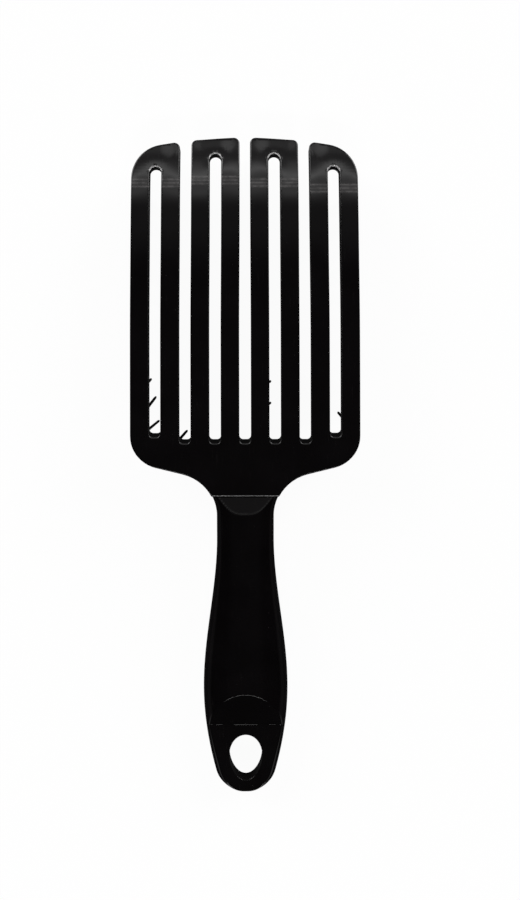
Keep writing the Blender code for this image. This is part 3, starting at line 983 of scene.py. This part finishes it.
def bristle(row, root, tip, sag, radius=BRISTLE_RADIUS):
    """Adds to a row one bristle from the carrier to its tip, flared at the root and bowed by sag."""
    run = tip - root
    form = bmesh.new()
    tip_layer = form.verts.layers.float.new("tip")

    def spot(ring, turn):
        share, full = ring
        thick = radius * (1 + (BRISTLE_TIP_RADIUS / BRISTLE_RADIUS - 1) * share) * full
        bowed = root + run * share + sag * (share * share - share)
        return bend(bowed + Vector((math.cos(turn), math.sin(turn), 0)) * thick)

    _, last = drawn_tube(form, BRISTLE_SIDES, BRISTLE_RINGS, spot)
    bmesh.ops.edgeloop_fill(form, edges=last)
    bmesh.ops.recalc_face_normals(form, faces=form.faces)
    top = bend(root).z
    bottom = bend(tip).z
    for vert in form.verts:
        vert[tip_layer] = min(1.0, max(0.0, (top - vert.co.z) / (top - bottom)))
    mesh = bpy.data.meshes.new("bristle")
    form.to_mesh(mesh)
    form.free()
    row.from_mesh(mesh)
    bpy.data.meshes.remove(mesh)


def bristle_tip(root, lean_x, lean_y, length):
    """Where a bristle ends: kept just off the floor."""
    way = Vector((math.tan(lean_x), math.tan(lean_y), -1)).normalized()
    tip = root + way * length
    low = bend(tip).z
    if low < BRISTLE_TIP_RADIUS:
        top = bend(root).z
        tip = root + way * (length * (top - BRISTLE_TIP_RADIUS) / (top - low))
    return tip


def tuft_bristle(row, x, y, across, along, draw):
    """Adds one bristle of the tuft at x, y, each a little out of true."""
    root = Vector((x + across * TUFT_STEP[0] + draw.uniform(-1, 1) * TUFT_JITTER,
                   y + along * TUFT_STEP[1] + draw.uniform(-1, 1) * TUFT_JITTER,
                   ROOT_SINK - PLATE))
    lean_x = math.radians(across * FAN_DEGREES[0] + draw.gauss(0, FAN_JITTER[0]))
    lean_y = math.radians(along * FAN_DEGREES[1] + draw.gauss(0, FAN_JITTER[1]))
    tip = bristle_tip(root, lean_x, lean_y, BRISTLE_LENGTH * draw.uniform(BRISTLE_SHORTEST, 1.0))
    sag = Vector((draw.uniform(-1, 1), draw.uniform(-1, 1), 0)) * BRISTLE_SAG
    bristle(row, root, tip, sag)


def bristle_row(index, draw):
    """A carrier that fits its bar's groove, with its tufts and, on some bars, stray bristles."""
    x = bar_centre(index)
    start = strip_start(index)
    end = TIP - STRIP_TIP_MARGIN
    form = bmesh.new()
    form.verts.layers.float.new("tip")
    box(form, (x - STRIP_WIDTH / 2, start, -PLATE), (x + STRIP_WIDTH / 2, end, STRIP_DEPTH - PLATE))
    bmesh.ops.bevel(form, geom=form.edges[:], offset=STRIP_EDGE, segments=STRIP_EDGE_STEPS,
                    profile=0.5, affect="EDGES", material=-1)
    for step in range(1, STRIP_ROWS):
        slice_at(form, (0, start + (end - start) * step / STRIP_ROWS, 0), (0, 1, 0))
    for vert in form.verts:
        vert.co = bend(vert.co)
    first = start + TUFT_MARGIN
    gap = (end - TUFT_MARGIN - first) / (TUFTS - 1)
    for tuft in range(TUFTS):
        for across in TUFT_ACROSS:
            for along in TUFT_ALONG:
                tuft_bristle(form, x, first + gap * tuft, across, along, draw)
    for bar, root_x, root_y, tip_x, tip_y in STRAYS:
        if bar == index:
            root = Vector((root_x, root_y, ROOT_SINK - PLATE))
            tip = Vector((tip_x, tip_y, -PLATE - STRAY_DEPTH))
            bristle(form, root, tip, (tip - root) * STRAY_SAG, STRAY_RADIUS)
    return form


def bristle_rows():
    draw = random.Random(SEED)
    rows = []
    for index in range(BARS):
        thing = place(f"bristle_row_{index + 1}", bristle_row(index, draw))
        thing.data.shade_smooth()
        thing.data.set_sharp_from_angle(angle=BRISTLE_SHARP)
        rows.append(thing)
    return rows


# Node helpers


def node(tree, kind, links=(), **values):
    """Adds a node, sets its properties and sockets, and links its inputs."""
    made = tree.nodes.new(kind)
    for key, value in values.items():
        setattr(made, key, value)
    for socket, source in links:
        if isinstance(source, bpy.types.NodeSocket):
            tree.links.new(source, made.inputs[socket])
        else:
            made.inputs[socket].default_value = source
    return made


def fade(tree, value, low, high, start=0.0, end=1.0):
    """Smoothly maps a value from low..high to start..end."""
    links = (("Value", value), ("From Min", low), ("From Max", high), ("To Min", start), ("To Max", end))
    return node(tree, "ShaderNodeMapRange", links, interpolation_type="SMOOTHSTEP").outputs["Result"]


def rising(tree, value, edge, top=1.0):
    return fade(tree, value, *edge, 0.0, top)


def falling(tree, value, edge, top=1.0):
    return fade(tree, value, *edge, top, 0.0)


def sums(tree, operation, *values):
    """Folds values together with one kind of arithmetic."""
    total = values[0]
    for value in values[1:]:
        total = node(tree, "ShaderNodeMath", ((0, total), (1, value)), operation=operation).outputs[0]
    return total


def plus(tree, *values):
    return sums(tree, "ADD", *values)


def times(tree, *values):
    return sums(tree, "MULTIPLY", *values)


def function_of(tree, operation, value):
    return node(tree, "ShaderNodeMath", ((0, value),), operation=operation).outputs[0]


def parts_of(tree, vector):
    return node(tree, "ShaderNodeSeparateXYZ", (("Vector", vector),)).outputs


def carried(tree, name):
    """A value that the piece's mesh carries at each of its points."""
    return node(tree, "ShaderNodeAttribute", attribute_name=name).outputs["Fac"]


def blend_colour(tree, share, one, other):
    made = tree.nodes.new("ShaderNodeMix")
    made.data_type = "RGBA"
    tree.links.new(share, made.inputs["Factor"])
    for socket, source in ((6, one), (7, other)):
        if isinstance(source, bpy.types.NodeSocket):
            tree.links.new(source, made.inputs[socket])
        else:
            made.inputs[socket].default_value = (*source, 1)
    return made.outputs[2]


def noise_at(tree, where, scale=1, detail=2, stretch=(1, 1, 1)):
    mapped = node(tree, "ShaderNodeMapping", (("Vector", where), ("Scale", stretch))).outputs[0]
    links = (("Vector", mapped), ("Scale", scale), ("Detail", detail))
    return node(tree, "ShaderNodeTexNoise", links).outputs[0]


# Materials


def blank_material(name):
    """A new material with its node tree, its shader and the place that its patterns read."""
    made = bpy.data.materials.new(name)
    made.use_nodes = True
    tree = made.node_tree
    where = tree.nodes.new("ShaderNodeTexCoord").outputs["Object"]
    return made, tree, tree.nodes["Principled BSDF"], where


def add_bump(tree, shader, height, strength):
    links = (("Height", height), ("Strength", strength), ("Distance", BUMP_DISTANCE))
    bump = node(tree, "ShaderNodeBump", links)
    tree.links.new(bump.outputs[0], shader.inputs["Normal"])


def moulded_plastic(name, tones, gloss, with_streaks):
    """Near-black moulded plastic: mottled gloss, hairline scratches, dust, worn edges, and painted
    highlights along some edges and, when asked, in streaks across the bars.
    """
    made, tree, shader, where = blank_material(name)
    deep, pale = tones
    cloud = noise_at(tree, where, scale=60, detail=4)
    haze = noise_at(tree, where, scale=420, detail=3)
    grain = noise_at(tree, where, scale=5200)
    hairs = fade(tree, noise_at(tree, where, stretch=(2900, 120, 900)), low=0.665, high=0.72)
    cross = fade(tree, noise_at(tree, where, stretch=(300, 3300, 900)), low=0.70, high=0.75)
    scratch = sums(tree, "MAXIMUM", hairs, times(tree, cross, CROSS_SCRATCH))
    dust = fade(tree, noise_at(tree, where, scale=1500, detail=1), low=0.79, high=0.83)
    rim = carried(tree, "wear")
    worn = times(tree, rim, fade(tree, haze, low=0.35, high=0.7))
    # Painted highlight: the pale lines along the arches' rims, the seam edge and the front ramp's edge,
    # broken by the haze
    edge = times(tree, carried(tree, "pale"), fade(tree, haze, low=0.3, high=0.6, start=PAINTED_HIGHLIGHT_LEAST))

    tone = blend_colour(tree, fade(tree, cloud, low=0.3, high=0.75), deep, pale)
    lifted = tuple(WORN_LIFT * part for part in pale)
    tone = blend_colour(tree, times(tree, worn, WORN_SHARE), tone, lifted)
    tone = blend_colour(tree, times(tree, scratch, SCRATCH_SHARE), tone, SCRATCH_TONE)
    tone = blend_colour(tree, times(tree, dust, DUST_SHARE), tone, DUST_TONE)
    tone = blend_colour(tree, edge, tone, PAINTED_HIGHLIGHT_TONE)
    # Painted highlight streaks across the bars near the tips
    if with_streaks:
        tone = blend_colour(tree, painted_streaks(tree, where, haze), tone, STREAK_HIGHLIGHT_TONE)
    tree.links.new(tone, shader.inputs["Base Color"])

    mottle = times(tree, plus(tree, cloud, haze), 0.5)
    rough = plus(tree, fade(tree, mottle, 0.3, 0.7, *gloss), times(tree, scratch, SCRATCH_ROUGH),
                 times(tree, dust, DUST_ROUGH), times(tree, worn, WORN_ROUGH),
                 times(tree, rim, RIM_ROUGH), times(tree, carried(tree, "wall"), WALL_ROUGH))
    tree.links.new(rough, shader.inputs["Roughness"])

    height = plus(tree, times(tree, grain, GRAIN_HEIGHT), times(tree, scratch, SCRATCH_HEIGHT),
                  times(tree, dust, DUST_HEIGHT))
    add_bump(tree, shader, height, PLASTIC_BUMP)
    shader.inputs["IOR"].default_value = PLASTIC_IOR
    shader.inputs["Specular IOR Level"].default_value = PLASTIC_SPECULAR
    return made


def painted_streaks(tree, where, haze):
    """How strongly the painted highlight streaks show: pale lines across the bars, broken by the haze.
    """
    parts = parts_of(tree, where)
    lower = STREAK_LOWER[0]
    for loop in range(1, LOOPS):
        gap = (2 * loop - LOOPS) * PITCH
        step = STREAK_LOWER[loop] - STREAK_LOWER[loop - 1]
        lower = plus(tree, lower, rising(tree, parts["X"], (gap - STREAK_STEP, gap + STREAK_STEP), step))
    level = plus(tree, parts["Y"], lower)
    phase = times(tree, sums(tree, "SUBTRACT", level, STREAK_MIDDLE), 2 * math.pi / STREAK_PITCH)
    lines = fade(tree, function_of(tree, "COSINE", phase), low=-0.2, high=1.0, start=STREAK_BETWEEN)
    broken = fade(tree, haze, low=0.40, high=0.6, start=STREAK_FAINTEST)
    return times(tree, lines, rising(tree, level, STREAK_START), falling(tree, level, STREAK_END), broken)


def bristle_nylon():
    """Black nylon, streaked along the bristles and paler at their tips."""
    made, tree, shader, where = blank_material("bristle_nylon")
    strand = noise_at(tree, where, scale=900)
    streak = noise_at(tree, where, stretch=(5000, 5000, 260))
    tone = blend_colour(tree, strand, *NYLON_TONES)
    tip = rising(tree, carried(tree, "tip"), (0.9, 1.0), NYLON_TIP_SHARE)
    tone = blend_colour(tree, tip, tone, NYLON_TIP_TONE)
    tree.links.new(tone, shader.inputs["Base Color"])
    tree.links.new(fade(tree, streak, 0.3, 0.7, *NYLON_GLOSS), shader.inputs["Roughness"])
    add_bump(tree, shader, streak, NYLON_BUMP)
    shader.inputs["IOR"].default_value = NYLON_IOR
    return made


# Floor, light and camera


def ground_strength(tree):
    """The strength at which the ground shows itself: white to the camera, dim in reflections."""
    path = tree.nodes.new("ShaderNodeLightPath").outputs
    mirrored = plus(tree, path["Is Glossy Ray"], path["Is Transmission Ray"])
    total = plus(tree, path["Is Camera Ray"], times(tree, mirrored, GROUND_MIRRORED))
    return times(tree, sums(tree, "MINIMUM", total, 1.0), GROUND_WHITE)


def pale_floor():
    form = bmesh.new()
    bmesh.ops.create_grid(form, x_segments=2, y_segments=2, size=FLOOR_HALF_SIZE)
    bmesh.ops.translate(form, vec=(0, 0, -FLOOR_DROP), verts=form.verts)
    floor = place("pale_floor", form)
    made = bpy.data.materials.new("pale_floor")
    made.use_nodes = True
    tree = made.node_tree
    tree.nodes.remove(tree.nodes["Principled BSDF"])
    glossy = tree.nodes.new("ShaderNodeLightPath").outputs["Is Glossy Ray"]
    tone = fade(tree, glossy, low=0.0, high=1.0, start=FLOOR_TONE, end=FLOOR_TONE_MIRRORED)
    matt = node(tree, "ShaderNodeBsdfDiffuse", (("Color", tone),))
    white = node(tree, "ShaderNodeEmission", (("Strength", ground_strength(tree)),))
    both = node(tree, "ShaderNodeAddShader", ((0, matt.outputs[0]), (1, white.outputs[0])))
    tree.links.new(both.outputs[0], tree.nodes["Material Output"].inputs["Surface"])
    floor.data.materials.append(made)


def light_bank(tree, angle, aside):
    """The soft bank beyond the tips: bands of strength by their angle, which fade out to the sides."""
    links = (("Value", angle), ("From Min", -math.pi), ("From Max", math.pi))
    share = node(tree, "ShaderNodeMapRange", links).outputs[0]
    ramp = node(tree, "ShaderNodeValToRGB", (("Fac", share),))
    stops = ramp.color_ramp.elements
    while len(stops) > 1:
        stops.remove(stops[-1])
    for index, (degrees, strength) in enumerate(BANK):
        position = (degrees + 180) / 360
        stop = stops[0] if index == 0 else stops.new(position)
        stop.position = position
        level = strength / BANK_SCALE
        stop.color = (level, level, level, 1)
    return times(tree, ramp.outputs[0], BANK_SCALE, falling(tree, aside, BANK_SIDES))


def studio_light():
    """A bank, a spot and boxes beyond the tips, a box beyond the handle's end, and a low glow."""
    world = bpy.data.worlds.new("studio")
    bpy.context.scene.world = world
    world.use_nodes = True
    tree = world.node_tree
    way = tree.nodes.new("ShaderNodeTexCoord").outputs["Generated"]
    parts = parts_of(tree, way)
    along = parts["Y"]
    up = parts["Z"]
    aside = function_of(tree, "ABSOLUTE", parts["X"])
    angle = sums(tree, "ARCTAN2", along, up)

    spot_way = (0, math.sin(SPOT_ANGLE), math.cos(SPOT_ANGLE))
    near = node(tree, "ShaderNodeVectorMath", ((0, way), (1, spot_way)), operation="DOT_PRODUCT")
    spot = rising(tree, near.outputs["Value"], SPOT_EDGE, SPOT_STRENGTH)
    front_box = times(tree, rising(tree, up, FRONT_BOX_LOW), falling(tree, up, FRONT_BOX_HIGH),
                      falling(tree, along, FRONT_BOX_REACH),
                      falling(tree, aside, FRONT_BOX_SIDES, FRONT_BOX_STRENGTH))
    back_box = times(tree, rising(tree, angle, BACK_BOX_HIGH), falling(tree, angle, BOX_LOW),
                     falling(tree, aside, BACK_BOX_SIDES, BACK_BOX_STRENGTH))
    side_box = times(tree, rising(tree, angle, SIDE_BOX_HIGH), falling(tree, angle, BOX_LOW),
                     rising(tree, aside, SIDE_BOX_INNER, SIDE_BOX_STRENGTH),
                     falling(tree, aside, SIDE_BOX_OUTER))
    ends = plus(tree, fade(tree, along, *GLOW_FRONT, GLOW_FRONT_SHARE, GLOW_LEAST),
                rising(tree, along, GLOW_BACK))
    glow = times(tree, ends, falling(tree, up, GLOW_TOP, GLOW_STRENGTH))
    light = plus(tree, light_bank(tree, angle, aside), spot, front_box, back_box, side_box, glow)

    seen = tree.nodes.new("ShaderNodeLightPath").outputs["Is Camera Ray"]
    shown = node(tree, "ShaderNodeMix", (("Factor", seen), ("A", light), ("B", 1.0)), data_type="FLOAT")
    background = tree.nodes["Background"].inputs
    tree.links.new(shown.outputs[0], background["Strength"])
    background["Color"].default_value = (1, 1, 1, 1)


def camera():
    """Looks straight down on the head, in the photograph's frame."""
    width, height = PICTURE
    data = bpy.data.cameras.new("camera")
    data.sensor_width = SENSOR
    data.lens = FOCAL_LENGTH * SENSOR / height
    data.shift_x = (width / 2 - AXIS[0]) / height
    data.shift_y = (AXIS[1] - height / 2) / height
    data.clip_start = NEAREST
    data.clip_end = FARTHEST
    thing = bpy.data.objects.new("camera", data)
    bpy.context.scene.collection.objects.link(thing)
    thing.location = (*CAMERA_AT, BACK + CAMERA_HEIGHT)
    thing.rotation_euler = (0, 0, CAMERA_TURN)
    bpy.context.scene.camera = thing


def dress(thing, material, node_name):
    thing.data.materials.clear()
    thing.data.materials.append(material)
    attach(thing, "root")
    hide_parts(node_name)


def main():
    bpy.context.scene.view_settings.view_transform = "Standard"
    camera()
    studio_light()
    pale_floor()
    head_plastic = moulded_plastic("head_plastic", HEAD_TONES, HEAD_GLOSS, with_streaks=True)
    dress(head_frame(), head_plastic, "head_frame")
    handle_plastic = moulded_plastic("handle_plastic", HANDLE_TONES, HANDLE_GLOSS, with_streaks=False)
    dress(handle(), handle_plastic, "handle")
    nylon = bristle_nylon()
    for index, row in enumerate(bristle_rows()):
        dress(row, nylon, f"bristle_strip_{index + 1}")


main()
